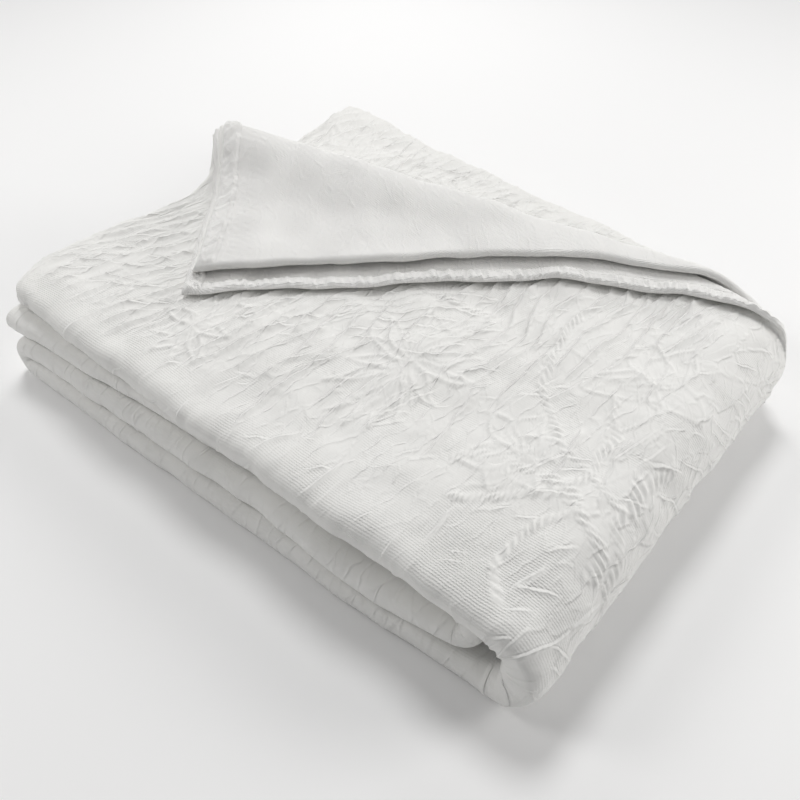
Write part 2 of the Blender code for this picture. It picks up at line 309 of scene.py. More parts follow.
# The stitched hems of the reverse: widths, rise, gathers and seam.
HEM_WIDTH = 0.019
SIDE_HEM_WIDTH = 0.015
HEM_SEEDS = (91, 92)
HEM_RISE = 0.0014
HEM_ROUND = 0.0035
HEM_GATHER = 0.0065
HEM_GATHER_RISE = 0.0018
SEAM_WIDTH = 0.0015
HEM_EDGE = (0.0008, -0.0012)
HEM_GATHER_RUNS = (0.05, 0.04)
HEM_CREST = 0.22
SEAM_DEPTH = 0.0016

# The network of fine gathers between the pleats: cell length and width, line width, height,
# lean in degrees, shift of the cells. Its bend and breaks are noise: scale, detail, then size, or
# the values between which it fades; its puff: limit, blend and share.
GATHERS = (
    (0.062, 0.015, 0.075, 0.00075, 8, 0),
    (0.026, 0.0085, 0.11, 0.00034, -16, 0.137),
)
GATHER_OFFSET = 0.071
GATHER_BEND = (30, 2, 0.016)
GATHER_BREAK = (65, 2, 0.40, 0.58)
GATHER_PUFF = (0.45, 0.2, 0.9)

# Extra columns beside the left hem, in steps, and how its rim and the front corner round off.
EDGE_COLUMNS = (0.12, 0.45)
RIM_ROUND = 0.002
RIM_KEEP = 0.15
CORNER_ROUND = 0.016
CORNER_RUN = 0.06

# The top strip's left end closes to a rounded end: radius of the curl, share of the height
# that it keeps, where it fades before the turned corner, and how far inner layers draw in.
CURL_RADIUS = 0.0112
CURL_KEEP = 0.03
CURL_FULLNESS = 0.62
CURL_SPREAD = (0.02, 0.12)
CURL_FADE = (-0.060, -0.012)
REAR_FADE = (-0.005, 0.025)
DRAWN_IN = 0.018
DRAWN_FADE = 0.06

# Puffs of the face between its puckers: wavelength across, along, height, seed.
PUFFS = (
    (0.045, 0.030, 0.0011, 71),
    (0.022, 0.013, 0.0006, 72),
)

# How plainly the relief shows: on the reverse, at the nose, near the floor, where it is hidden,
# on the rolls, at the rear rim and at the right end.
IMPRINT = -0.22
IMPRINT_SHARE = 0.55
GATHERED_NOSE = 0.35
REVERSE_WAVE = (0.055, 0.030, 0.0010, 81)
FLOOR_FADE = (0.004, 0.012)
HIDDEN_RELIEF = 0.25
ROLL_RELIEF = 0.60
REAR_RIM = 0.55
REAR_RIM_FADE = (-0.008, -0.030)
REAR_SEEN_FADE = (-0.01, 0.01)
END_GATHERS = 1.0
END_GATHERS_FADE = (0.26, 0.34)

FLOOR_SIZE = 60.0
SKY_STRENGTH = 0.24
WALL_STRENGTH = 0.95

# The main light, far off: direction that it comes from, strength, softness in degrees.
KEY_FROM = (-0.66, 0.64, 1.40)
KEY_STRENGTH = 1.15
KEY_SOFTNESS = 18

# Soft lights aimed at the middle: name, place, size, power, colour.
LIGHTS = (
    ("side", (1.4, 1.0, 0.8), 0.8, 13, (1.0, 0.985, 0.97)),
    ("left", (-1.1, -0.80, 1.20), 0.6, 6.6, (1.0, 0.985, 0.97)),
    ("rear", (-0.78, 0.88, 0.90), 0.5, 4.0, (1.0, 0.99, 0.98)),
)

# Woven bump of the cloth: spacings; scale, detail and size of the ribs' drift and of the loose
# fibres; height of the crossed threads; crest and groove of a pleat's line.
RIB_SPACING = 0.0024
THREAD_SPACING = 0.0029
RIB_DRIFT = (90, 2, 0.0016)
FUZZ = (1300, 3, 1.6)
BASKET_RISE = 0.22
CREST_WIDTH = 0.0009
CREST_HEIGHT = 0.00050
GROOVE_PLACE = -0.0019

# The two sides of the cloth: name, roughness, rib spacing, rib share, slant of the twill, height
# of its threads, whether it is quilted, lighter and darker tone. The plain side's tones are painted
# lighter than the quilted side's: painted light on the turned-back corner and in the shaded gap
# under it.
COTTONS = (
    ("quilted cotton", 0.9, RIB_SPACING, 0.44, 0.0, 0.00016, True,
     (0.87, 0.868, 0.850, 1), (0.83, 0.823, 0.795, 1)),
    # Painted light: these tones are lighter than the quilted side's, to brighten the shaded gap
    # under the turned-back corner.
    ("plain cotton painted lighter", 0.88, 0.0022, 0.5, 0.35, 0.00034, False,
     (0.96, 0.956, 0.940, 1), (0.92, 0.914, 0.890, 1)),
)
SHEEN = 0.12
SHEEN_ROUGHNESS = 0.5
SPECULAR = 0.2
TONE_CLOUD = (14, 5, 0.5)
FLOOR_TONE = (0.93, 0.93, 0.93, 1)
FLOOR_ROUGHNESS = 0.9
WHITE = (1, 1, 1, 1)

# The camera, worked out from the bundle's edges in the photograph.
CAMERA_AZIMUTH = 38.8
CAMERA_ELEVATION = 45.4
CAMERA_ROLL = 0.3
CAMERA_DISTANCE = 0.984
CAMERA_RIGHT = -0.008
CAMERA_UP = -0.039
SENSOR = 36.0
FOCAL_PIXELS = 901.0
PICTURE_PIXELS = 800


def soft_step(start, end, value):
    share = np.clip((value - start) / (end - start), 0, 1)
    return share * share * (3 - 2 * share)


def smooth_through(table, place):
    """Smooth curve through a table's rows of place and value, held level past both ends."""
    places = np.array([row[0] for row in table])
    values = np.array([row[1] for row in table])
    slopes = np.gradient(values, places)
    place = np.clip(place, places[0], places[-1])
    index = np.clip(np.searchsorted(places, place) - 1, 0, len(places) - 2)
    span = places[index + 1] - places[index]
    share = (place - places[index]) / span
    start = (1 + 2 * share) * (1 - share) ** 2 * values[index]
    end = share ** 2 * (3 - 2 * share) * values[index + 1]
    leaving = share * (1 - share) ** 2 * span * slopes[index]
    arriving = share ** 2 * (share - 1) * span * slopes[index + 1]
    return start + end + leaving + arriving


# Turns of the strip's middle line: the turn, the run after it, X of its centre, radius, height of
# its low side, the way it bulges along X, and the signs of its upper side's direction.
TURNS = (
    ("outer turn", "bottom", OUTER_TURN, OUTER_RADIUS, BOTTOM_HEIGHT, 1, 1, 1),
    ("left turn", "lower", LEFT_TURN, INNER_RADIUS, BOTTOM_HEIGHT, -1, -1, -1),
    ("inner turn", "upper", INNER_TURN, INNER_RADIUS, BOTTOM_HEIGHT + STRIP_PITCH, 1, -1, 1),
)

# The strip's middle line: stretch, length.
STRETCHES = (
    ("top", OUTER_TURN - LEFT_HEM),
    ("outer turn", math.pi * OUTER_RADIUS),
    ("bottom", OUTER_TURN - LEFT_TURN),
    ("left turn", math.pi * INNER_RADIUS),
    ("lower", INNER_TURN - LEFT_TURN),
    ("inner turn", math.pi * INNER_RADIUS),
    ("upper", INNER_TURN - INNER_HEM),
)


def stretch_starts():
    """Place along the strip at which each stretch starts; the top one counts from its X."""
    starts = {}
    place = LEFT_HEM
    for name, length in STRETCHES:
        starts[name] = place
        place += length
    starts["end"] = place
    return starts


STARTS = stretch_starts()


def along_strip(strip, x):
    """Place along the strip of a point of one of its four straight runs."""
    if strip in ("top", "lower"):
        first = LEFT_HEM if strip == "top" else LEFT_TURN
        return STARTS[strip] + x - first
    first = OUTER_TURN if strip == "bottom" else INNER_TURN
    return STARTS[strip] + first - x


FRONT_EDGE = [(along_strip(row[0], row[1]), row[2]) for row in EDGES]
BACK_EDGE = [(along_strip(row[0], row[1]), row[3]) for row in EDGES]
NOSE_DEPTH = [(along_strip(row[0], row[1]), row[4]) for row in EDGES]
FOLD_LINE = [(row[0], row[1]) for row in TURNED_CORNER]
TURNED_LENGTH = [(row[0], row[2]) for row in TURNED_CORNER]


def middle_line(place):
    """X and Z of the strip's middle line, and the X and Z of its upper side's direction."""
    x = np.array(place, dtype=float)
    z = np.full_like(x, BOTTOM_HEIGHT + 3 * STRIP_PITCH)
    side_x = np.zeros_like(x)
    side_z = np.ones_like(x)
    for turn, run, centre, radius, low, bulge, sign_x, sign_z in TURNS:
        angle = np.clip((place - STARTS[turn]) / radius, 0, math.pi)
        inside = place > STARTS[turn]
        x = np.where(inside, centre + bulge * radius * np.sin(angle), x)
        z = np.where(inside, low + radius * (1 + sign_x * np.cos(angle)), z)
        side_x = np.where(inside, sign_x * np.sin(angle), side_x)
        side_z = np.where(inside, sign_z * np.cos(angle), side_z)
        x = np.where(place > STARTS[run], centre - bulge * (place - STARTS[run]), x)
    return x, z, side_x, side_z


def front_centre(place):
    """Middle of the rounded front nose of the strip."""
    depth = smooth_through(NOSE_DEPTH, place)
    return smooth_through(FRONT_EDGE, place) + depth + 0.5 * CLOTH


def fold_line(place):
    """Line about which the upper layers turn back, or their back edge where they lie flat."""
    line = smooth_through(FOLD_LINE, place)
    back = smooth_through(BACK_EDGE, place)
    return np.where(place < FOLD_LINE[-1][0], np.minimum(line, back), back)


def fold_angle(place):
    """Direction of the fold line, seen from above."""
    inner = np.clip(place, FOLD_LINE[0][0] + SLOPE_STEP, FOLD_LINE[-1][0] - SLOPE_STEP)
    ahead = smooth_through(FOLD_LINE, inner + SLOPE_STEP)
    behind = smooth_through(FOLD_LINE, inner - SLOPE_STEP)
    return np.arctan2(ahead - behind, 2 * SLOPE_STEP)


def turned_length(place):
    return np.maximum(smooth_through(TURNED_LENGTH, place), 0)


def turn_axes(s, t, angle):
    """Parts of s and t along a direction at an angle, and beside it."""
    return s * math.cos(angle) + t * math.sin(angle), t * math.cos(angle) - s * math.sin(angle)


def corner_lift(place, across):
    """Rise of the turned-back corner, highest at its tip and along its fold line."""
    along, behind = turn_axes(place - LEFT_HEM, across - FOLD_LINE[0][1], LIFT_ANGLE)
    fade = np.exp(-(np.minimum(behind, 0) / LIFT_WIDTH) ** 2)
    return TIP_LIFT * np.clip(1 - along / LIFT_LENGTH, 0, 1) ** LIFT_FADE * fade


def left_share(x):
    """Share of the bundle's left end, 1 at its tip and fading out toward the middle."""
    return np.clip((BULGE_END - x) / BULGE_RUN, 0, 1) ** 2


def corner_tuck(place, beyond):
    """Shift along X that draws a layer in under the lifted tip, in front of the fold line."""
    reach = np.maximum(-beyond, 0) / TUCK_REACH
    return TUCK * reach * np.exp(1 - reach) * left_share(place)


def upper_layer(place, beyond, level):
    """A point of a turned-back layer, by its length of cloth beyond the fold line."""
    axis = TOP_LAYER * LAYER_PITCH + FOLD_RADIUS
    radius = axis - level * LAYER_PITCH
    cloth = np.maximum(beyond, 0)
    angle = np.minimum(cloth / radius, math.pi)
    laid = cloth - angle * radius
    back = radius * np.sin(angle) - laid
    line = fold_angle(place)
    slide = LEAN_SHARE * np.tan(line) * cloth
    along = place + slide * np.cos(line) - back * np.sin(line)
    across = fold_line(place) + slide * np.sin(line) + back * np.cos(line)
    along = along + corner_tuck(place, beyond)
    across = across + np.minimum(beyond, 0)
    height = axis - radius * np.cos(angle)
    puff = 0.5 * (TOP_LAYER - level) * FOLD_PUFF * (1 - np.exp(-laid / PUFF_LENGTH))
    return np.array((along, across, height + puff + corner_lift(along, across)))


def fold_reach(place, level):
    """Length of a layer beyond the fold line, out to the inner fold that two layers share."""
    axis = TOP_LAYER + FOLD_RADIUS / LAYER_PITCH
    shared = (axis - 0.5 * (INNER_UPPER + INNER_END)) * LAYER_PITCH
    radius = (axis - level) * LAYER_PITCH
    reach = np.maximum(turned_length(place) - FOLD_SETBACK, 0)
    angle = np.minimum(reach / shared, math.pi)
    return reach - angle * shared + angle * radius


def turned_rows(place, level, reach, counts):
    """Rows of a turned-back layer from its edge to the front: its band, bend and flat part."""
    bend = math.pi * (TOP_LAYER * LAYER_PITCH + FOLD_RADIUS - level * LAYER_PITCH)
    cut = np.maximum(reach, bend + LEAST_BAND)
    end = front_centre(place) - fold_line(place)
    crowd = HEM_CROWD if level == TOP_LAYER else 1
    band = [reach - (cut - bend) * (step / counts[0]) ** crowd for step in range(counts[0])]
    curve = [reach - cut + bend * (1 - step / counts[1]) for step in range(counts[1])]
    start = reach - cut
    flat = [start + (end - start) * step / counts[2] for step in range(counts[2] + 1)]
    return [[upper_layer(place, length, level) for length in part] for part in (band, curve, flat)]


def level_row(place, across, height):
    """A row of points at one height in the strip."""
    return np.array((place, across, np.full_like(place, height)))


def half_turn(count):
    """Angles of a half turn's rows; its last point belongs to the next rows."""
    return [math.pi * step / count for step in range(count)]


def flat_rows(place, first, last, level, count):
    """Rows of a flat layer, evenly spaced from first to last."""
    span = last - first
    height = level * LAYER_PITCH
    return [level_row(place, first + span * step / count, height) for step in range(count)]


def rear_rows(place, back, centre, count):
    """Rows of the layer that shows behind the turned corner, fine there and few in front."""
    hidden = REAR_HIDDEN_ROWS if count > 2 * REAR_HIDDEN_ROWS else 1
    edge = np.minimum(fold_line(place) - REAR_FOLD_GAP, back - REAR_EDGE_GAP)
    rows = flat_rows(place, back, edge, INNER_LOWER, count - hidden)
    return rows + flat_rows(place, edge, centre, INNER_LOWER, hidden)


def nose_rows(place, middle, depth, half, count, upward):
    """Rows of a rounded front turn of the section."""
    rows = []
    power = 2 / NOSE_FULLNESS
    for angle in half_turn(count):
        across = middle - depth * math.sin(angle) ** power
        rise = half * math.copysign(abs(math.cos(angle)) ** power, math.cos(angle))
        rows.append(level_row(place, across, -rise if upward else rise))
    return rows


def back_fold_rows(place, middle, count):
    rows = []
    radius = 0.5 * LAYER_PITCH
    for angle in half_turn(count):
        height = REAR_MIDDLE - radius * math.cos(angle)
        rows.append(level_row(place, middle + radius * math.sin(angle), height))
    return rows


def shared_fold_rows(place, count):
    """Rows of the inner fold between the second layer and the free end layer."""
    upper = upper_layer(place, fold_reach(place, INNER_UPPER), INNER_UPPER)
    lower = upper_layer(place, fold_reach(place, INNER_END), INNER_END)
    middle_level = 0.5 * (INNER_UPPER + INNER_END)
    reach = fold_reach(place, middle_level)
    near = upper_layer(place, reach, middle_level)
    far = upper_layer(place, reach + SHORT_STEP, middle_level)
    outward = (far - near) / np.linalg.norm(far - near, axis=0)
    half = 0.5 * np.linalg.norm(upper - lower, axis=0)
    rows = []
    for angle in half_turn(count):
        middle = 0.5 * (upper + lower) + 0.5 * (upper - lower) * math.cos(angle)
        rows.append(middle + outward * half * math.sin(angle))
    return rows


def section_rows(place, column):
    """The whole section as rows of points, and the first row of each of its blocks."""
    count = {row[0]: row[column] for row in BLOCKS}
    centre = front_centre(place)
    depth = smooth_through(NOSE_DEPTH, place)
    back = smooth_through(BACK_EDGE, place) - 0.5 * (LAYER_PITCH + CLOTH)
    parts = {}

    counts = (count["hem"], count["hem bend"], count["top"])
    hem, hem_bend, top = turned_rows(place, TOP_LAYER, turned_length(place), counts)
    parts["hem"] = hem
    parts["hem bend"] = hem_bend
    parts["top"] = top[:-1]
    parts["nose"] = nose_rows(place, centre, depth, 2 * LAYER_PITCH, count["nose"], False)
    parts["under"] = flat_rows(place, centre, back, BOTTOM_LAYER, count["under"])
    parts["back fold"] = back_fold_rows(place, back, count["back fold"])
    parts["rear"] = rear_rows(place, back, centre, count["rear"])
    parts["inner nose"] = nose_rows(
        place, centre, 0.5 * depth, LAYER_PITCH, count["inner nose"], True)

    counts = (count["second band"], count["second bend"], count["second"])
    reach = fold_reach(place, INNER_UPPER)
    band, curve, flat = turned_rows(place, INNER_UPPER, reach, counts)
    parts["second"] = flat[::-1][:-1]
    parts["second bend"] = [flat[0]] + curve[::-1][:-1]
    parts["second band"] = [curve[0]] + band[::-1][:-1]
    parts["shared fold"] = shared_fold_rows(place, count["shared fold"])

    counts = (count["corner"], count["corner bend"], count["free end"])
    reach = fold_reach(place, INNER_END)
    band, curve, flat = turned_rows(place, INNER_END, reach, counts)
    parts["corner"] = band
    parts["corner bend"] = curve
    parts["free end"] = flat

    rows = []
    first = {}
    for name, _, _ in BLOCKS:
        first[name] = len(rows)
        rows += parts[name]
    first["end"] = len(rows) - 1
    return rows, first


def lay_down(row, places):
    """Wrap a row of the strip along the folded middle line and let the bundle slump."""
    x, z, side_x, side_z = middle_line(row[0])
    y = row[1]
    front = 1 - soft_step(DROOP_FRONT, DROOP_BACK, y)
    droop = smooth_through(ROLL_DROOP, x) * front
    half = 2 * LAYER_PITCH + 0.5 * CLOTH

    outer = 1 - soft_step(STARTS["bottom"] - DROOP_RUN, STARTS["bottom"], places)
    offset = row[2] * np.where(row[2] < 0, 1 + droop * outer, 1)
    x = x + offset * side_x
    z = z + offset * side_z - 0.5 * CLOTH
    squash = droop * half * np.clip(z / STRIP_PITCH - 2, 0, 1)
    z = z - np.where(places > STARTS["left turn"], squash, 0)

    z = 0.5 * CLOTH + z * smooth_through(SLUMP, x) * (1 - FRONT_SLOPE * front)
    bulge = smooth_through(END_BULGE, y) * left_share(x)
    x = x + np.where(places < STARTS["outer turn"], bulge, 0)
    return np.array((x - CENTRE_X, y - CENTRE_Y, z))


def smooth_noise(u, v, seed):
    """Smooth noise with one step for each unit of u and v, from about -1 to 1."""
    turns = np.random.default_rng(seed).uniform(0, 2 * math.pi, (NOISE_SIZE, NOISE_SIZE))
    first_u = np.floor(u).astype(int)
    first_v = np.floor(v).astype(int)
    share_u = u - first_u
    share_v = v - first_v
    ease_u = share_u ** 3 * (share_u * (share_u * 6 - 15) + 10)
    ease_v = share_v ** 3 * (share_v * (share_v * 6 - 15) + 10)
    total = 0
    for step_u in (0, 1):
        for step_v in (0, 1):
            turn = turns[(first_u + step_u) % NOISE_SIZE, (first_v + step_v) % NOISE_SIZE]
            slope = np.cos(turn) * (share_u - step_u) + np.sin(turn) * (share_v - step_v)
            weight_u = ease_u if step_u else 1 - ease_u
            weight_v = ease_v if step_v else 1 - ease_v
            total = total + weight_u * weight_v * slope
    return NOISE_GAIN * total


def slow_wave(points, wavelength, seed):
    """Sum of plane waves in different directions, the same in every layer."""
    draws = np.random.default_rng(seed)
    total = 0
    for _ in range(WAVE_COUNT):
        direction = draws.normal(size=3)
        direction *= 2 * math.pi / (wavelength * np.linalg.norm(direction))
        total = total + np.sin(points @ direction + draws.uniform(0, 2 * math.pi))
    return total / math.sqrt(WAVE_COUNT)


def soften(points):
    """Make the bundle a little uneven, less so where it meets what it lies on."""
    shift = np.zeros_like(points)
    for size, (wavelength, height) in enumerate(WAVES):
        for axis in range(3):
            shift[..., axis] += height * slow_wave(points, wavelength, 3 * size + axis)
    shift[..., 2] *= soft_step(0, WAVE_FLOOR, points[..., 2])
    return points + shift


def ridge(distance, half_width):
    return np.exp(-(distance / half_width) ** 2)


def patch_strength(family, across, along):
    """How strongly a family of pleats shows at each point of the cloth."""
    strength = np.full_like(across, PLEATS[family][-1])
    top = along < PATCH_LIMIT
    inner = np.full_like(across, LOOSE_STRENGTH)
    for row in PATCHES:
        if row[0] == family:
            off = ((along - row[1]) / row[3]) ** 2 + ((across - row[2]) / row[4]) ** 2
            inner = np.maximum(inner, row[5] * np.exp(-off))
    share = np.maximum(soft_step(*BARE_NOSE, np.abs(across)), soft_step(*END_START, along))
    inner = NOSE_STRENGTH + (inner - NOSE_STRENGTH) * share
    return np.where(top, inner, strength)


def pleat_family(family, across, along):
    """Height of one family of pleats, the count of its lines and how much they show."""
    seed, lean, spacing, run, height, steep, soft, bend, bend_length, _ = PLEATS[family]
    lean = math.radians(lean)

    def phase(s, t):
        long, wide = turn_axes(s, t, lean)
        wide = wide + bend * smooth_noise(long / bend_length, wide / bend_length, seed)
        share, finer_long, finer_wide = PLEAT_WOBBLE
        wobble = (finer_long * long / bend_length, finer_wide * wide / bend_length)
        wide = wide + share * bend * smooth_noise(*wobble, seed + 1)
        return wide / spacing, long

    count, long = phase(across, along)
    step = PLEAT_STEP
    slope = np.hypot(phase(across + step, along)[0] - count, phase(across, along + step)[0] - count)
    line = np.round(count)
    distance = (count - line) * step / np.maximum(slope, PLEAT_SLOPE)
    length = smooth_noise(long / run, LINE_OFFSET + LENGTH_STRIDE * line, seed + 2)
    strength = length + 2 * patch_strength(family, across, along)
    shown = soft_step(*PLEAT_FADE, strength - PLEAT_THRESHOLD)
    body = np.where(distance < 0, ridge(distance, steep), ridge(distance, soft))
    uneven = smooth_noise(long / ROUGH_LENGTH, LINE_OFFSET + ROUGH_STRIDE * line, seed + 3)
    rough = 1 + ROUGH_SHARE * uneven
    return height * body * rough * shown, count, shown


def petal_distance(p, q, length, half_width):
    """Distance to a petal's outline, negative inside; p runs along it and q across."""
    share = np.clip(p / length, 0, 1)
    edge = half_width * np.sin(math.pi * share ** PETAL_FORM)
    beside = np.abs(q) - edge
    before = np.hypot(p, q)
    after = np.hypot(p - length, q)
    return np.where(p < 0, before, np.where(p > length, after, beside))


def flower_relief(across, along):
    """Puffed petals with gathered outlines and veins, and where they cover the ground."""
    rise = np.zeros_like(across)
    covered = np.zeros_like(across)
    for centre_t, centre_s, length, half_width, petals, turn, lost in FLOWERS:
        s = across - centre_s
        t = along - centre_t
        near = np.hypot(s, t) < FLOWER_REACH * length
        if not near.any():
            continue
        draws = np.random.default_rng(int(1000 * abs(centre_t) + 100 * length))
        s = s[near]
        t = t[near]
        flower = np.zeros_like(s)
        inside = np.zeros_like(s)
        for petal in range(petals):
            angle = math.radians(turn) + 2 * math.pi * petal / petals
            angle += draws.uniform(-PETAL_TURN, PETAL_TURN)
            angle -= PETAL_SPREAD * 0.5 * math.sin(2 * angle)
            reach = length * (1 - lost * abs(math.sin(angle))) * draws.uniform(*PETAL_REACH)
            p, q = turn_axes(s, t, angle)
            distance = petal_distance(p, q, reach, half_width)
            body = 1 - np.exp(np.minimum(distance, 0) / PETAL_EDGE)
            gather = OUTLINE_RISE * ridge(distance, OUTLINE_WIDTH)
            vein = smooth_noise(q / VEIN_SPACING, p / VEIN_RUN, VEIN_SEED + petal)
            faded = soft_step(VEIN_FADE[0] * reach, VEIN_FADE[1] * reach, p)
            vein = VEIN_RISE * ridge(vein, VEIN_WIDTH) * faded
            flower = np.maximum(flower, PETAL_RISE * body + gather + vein * (distance < 0))
            inside = np.maximum(inside, soft_step(PETAL_RIM, -PETAL_RIM, distance))
        rise[near] = np.maximum(rise[near], flower)
        covered[near] = np.maximum(covered[near], inside)
    return rise, covered


def band_relief(across, along):
    """Corded bands: raised curves with a slanting twist, and where they cover the ground."""
    rise = np.zeros_like(across)
    covered = np.zeros_like(across)
    for centre_t, centre_s, radius, first, last in BANDS:
        s = across - centre_s
        t = along - centre_t
        beside = np.hypot(s, t) - radius
        angle = np.degrees(np.arctan2(s, t)) % 360
        first, last = first % 360, last % 360
        span = (last - first) % 360
        travelled = (angle - first) % 360
        shown = soft_step(0, BAND_TAPER, travelled)
        shown = shown * soft_step(span, span - BAND_TAPER, travelled)
        body = np.exp(-(beside / BAND_HALF) ** 4) * shown
        length = radius * np.radians(travelled)
        twist = np.cos(2 * math.pi * (length + beside * BEAD_SLANT) / BEAD_LENGTH)
        bead = BEAD_SHARE[0] + BEAD_SHARE[1] * twist
        rise = np.maximum(rise, BAND_RISE * body * bead)
        covered = np.maximum(covered, body)
    return rise, covered


def puff_relief(across, along):
    """Soft cushions of the cloth between its gathered lines."""
    total = 0
    for length, width, height, seed in PUFFS:
        total = total + height * smooth_noise(across / length, along / width, seed)
    return total


def ground_weave(across, along, cover):
    """How plainly the ribs of the ground show."""
    size_across, size_along, seed = GROUND_PATCH
    patches = smooth_noise(across / size_across, along / size_along, seed)
    least, more = GROUND_SHARE
    ground = (1 - cover) * (least + more * soft_step(*GROUND_FADE, patches))
    for centre_t, centre_s, reach_t, reach_s, strength in COARSE_GROUND:
        off = ((along - centre_t) / reach_t) ** 2 + ((across - centre_s) / reach_s) ** 2
        ground = ground + strength * (1 - cover) * np.exp(-off * off)
    return ground


def face_relief(across, along):
    """Height of the woven relief, how plainly the ground shows, and its pleats."""
    scaled = (across / MOTIF_BEND_LENGTH, along / MOTIF_BEND_LENGTH)
    bent_across = across + MOTIF_BEND * smooth_noise(*scaled, MOTIF_SEEDS[0])
    bent_along = along + MOTIF_BEND * smooth_noise(*scaled, MOTIF_SEEDS[1])
    petals, petal_cover = flower_relief(bent_across, bent_along)
    bands, band_cover = band_relief(bent_across, bent_along)
    cover = np.maximum(petal_cover, band_cover)
    broken = smooth_noise(across / MOTIF_BREAK, along / MOTIF_BREAK, MOTIF_SEEDS[2])
    worn = MOTIF_WORN[0] + MOTIF_WORN[1] * broken
    height = np.maximum(petals, bands) * worn + puff_relief(across, along)
    pleated = 0
    pleats = []
    free = 1 - COVERED_PLEATS * cover
    for family in range(len(PLEATS)):
        rise, count, shown = pleat_family(family, across, along)
        rise = rise * free
        pleats.append((count, shown * free))
        height = height + rise
        pleated = pleated + rise
    ground = ground_weave(across, along, cover) * soft_step(*GROUND_PLEATED, pleated)
    return height, ground, pleats


def hem_relief(edge_distance, run, width, seed):
    """A stitched hem on the reverse side: a raised gathered band and its seam."""
    run_band, run_crest = HEM_GATHER_RUNS
    gather = smooth_noise(run / HEM_GATHER, edge_distance / run_band, seed)
    band = soft_step(width + HEM_EDGE[0], width + HEM_EDGE[1], edge_distance)
    band = band * soft_step(0, HEM_ROUND, edge_distance)
    seam = SEAM_DEPTH * ridge(edge_distance - width, SEAM_WIDTH)
    crest = smooth_noise(run / HEM_GATHER, edge_distance / run_crest, seed + 1)
    crest = ridge(crest, HEM_CREST)
    return band * (HEM_RISE + HEM_GATHER_RISE * (gather + crest)) - seam


def run_across(points):
    """Length of cloth from the first row of points to each row."""
    steps = np.linalg.norm(np.diff(points, axis=0), axis=2)
    return np.vstack((np.zeros((1, points.shape[1])), np.cumsum(steps, axis=0)))


def cut_grid(points):
    """Longest run across and along a stretch of cloth, and its area laid flat."""
    across = np.linalg.norm(np.diff(points, axis=0), axis=2)
    along = np.linalg.norm(np.diff(points, axis=1), axis=2)
    area = 0.25 * (across[:, :-1] + across[:, 1:]) * (along[:-1] + along[1:])
    return across.sum(axis=0).max(), along.sum(axis=1).max(), area.sum()


def close_left_end(rows, first, place):
    """Round off the left end of a strip and draw the ends of its inner layers in."""
    run = place - LEFT_HEM
    quarter = 0.5 * math.pi * CURL_RADIUS
    angle = np.clip((quarter - run) / CURL_RADIUS, 0, 0.5 * math.pi)
    inward = CURL_RADIUS * np.sin(angle) ** (1 / CURL_FULLNESS)
    shift = np.where(run < quarter, quarter - inward - run, 0)
    shift = shift - (quarter - CURL_RADIUS) * (1 - soft_step(*CURL_SPREAD, run))
    keep = CURL_KEEP + (1 - CURL_KEEP) * np.cos(angle) ** CURL_FULLNESS
    line = fold_line(place)
    centre = front_centre(place)
    depth = smooth_through(NOSE_DEPTH, place)
    for index in range(first["top"], first["inner nose"]):
        row = rows[index]
        ahead = 1 - soft_step(*CURL_FADE, row[1] - line)
        behind = 0.0 if index < first["under"] else soft_step(*REAR_FADE, row[1] - line)
        if index >= first["rear"]:
            ahead = 0.0
        if first["nose"] <= index < first["under"]:
            out = np.clip((centre - row[1]) / depth, 0, 1)
            inward = CORNER_ROUND * (1 - np.sqrt(1 - out * out))
            row[0] = row[0] + inward * (1 - soft_step(0, CORNER_RUN, run))
        row[0] = row[0] + (ahead + behind) * shift
        closed = CURL_KEEP + (1 - CURL_KEEP) * keep
        closed = REAR_MIDDLE + (row[2] - REAR_MIDDLE) * closed
        row[2] = row[2] * (1 + ahead * (keep - 1)) + behind * (closed - row[2])
    for index in range(first["rear"], first["end"] + 1):
        row = rows[index]
        share = 1 - soft_step(*CURL_FADE, row[1] - line)
        if first["shared fold"] <= index < first["free end"] or index in turned_part(first):
            continue
        row[0] = row[0] + share * DRAWN_IN * (1 - soft_step(0, DRAWN_FADE, run))


def turned_part(first):
    return range(first["second bend"], first["shared fold"])


def cloth_grid(places, column):
    """Points of the whole section for each place along the strip, and each block's first row."""
    rows, first = section_rows(places, column)
    if column == 1:
        close_left_end(rows, first, places)
    points = np.array([lay_down(row, places).T for row in rows])
    return soften(points), first


def cloth_coordinates(points, places, first):
    """Distance across the cloth from the middle of the front nose, and place along the strip."""
    run = run_across(points)
    middle = (first["nose"] + first["under"]) // 2
    across = run[middle] - run
    return across, np.broadcast_to(places, across.shape)


def grid_normals(points):
    """Unit normals on the face side of the cloth."""
    down = np.gradient(points, axis=0)
    along = np.gradient(points, axis=1)
    normals = np.cross(down, along)
    return normals / np.maximum(np.linalg.norm(normals, axis=2, keepdims=True), NEAR_ZERO)


def half_thickness(points, along, column):
    """Half the cloth's thickness, rounded off at the hems of the top strip."""
    half = np.full(along.shape, 0.5 * CLOTH)
    if column == 1:
        for distance in (run_across(points), along - LEFT_HEM):
            off = np.clip(1 - distance / RIM_ROUND, 0, 1)
            half = half * (RIM_KEEP + (1 - RIM_KEEP) * np.sqrt(1 - off * off))
    return half


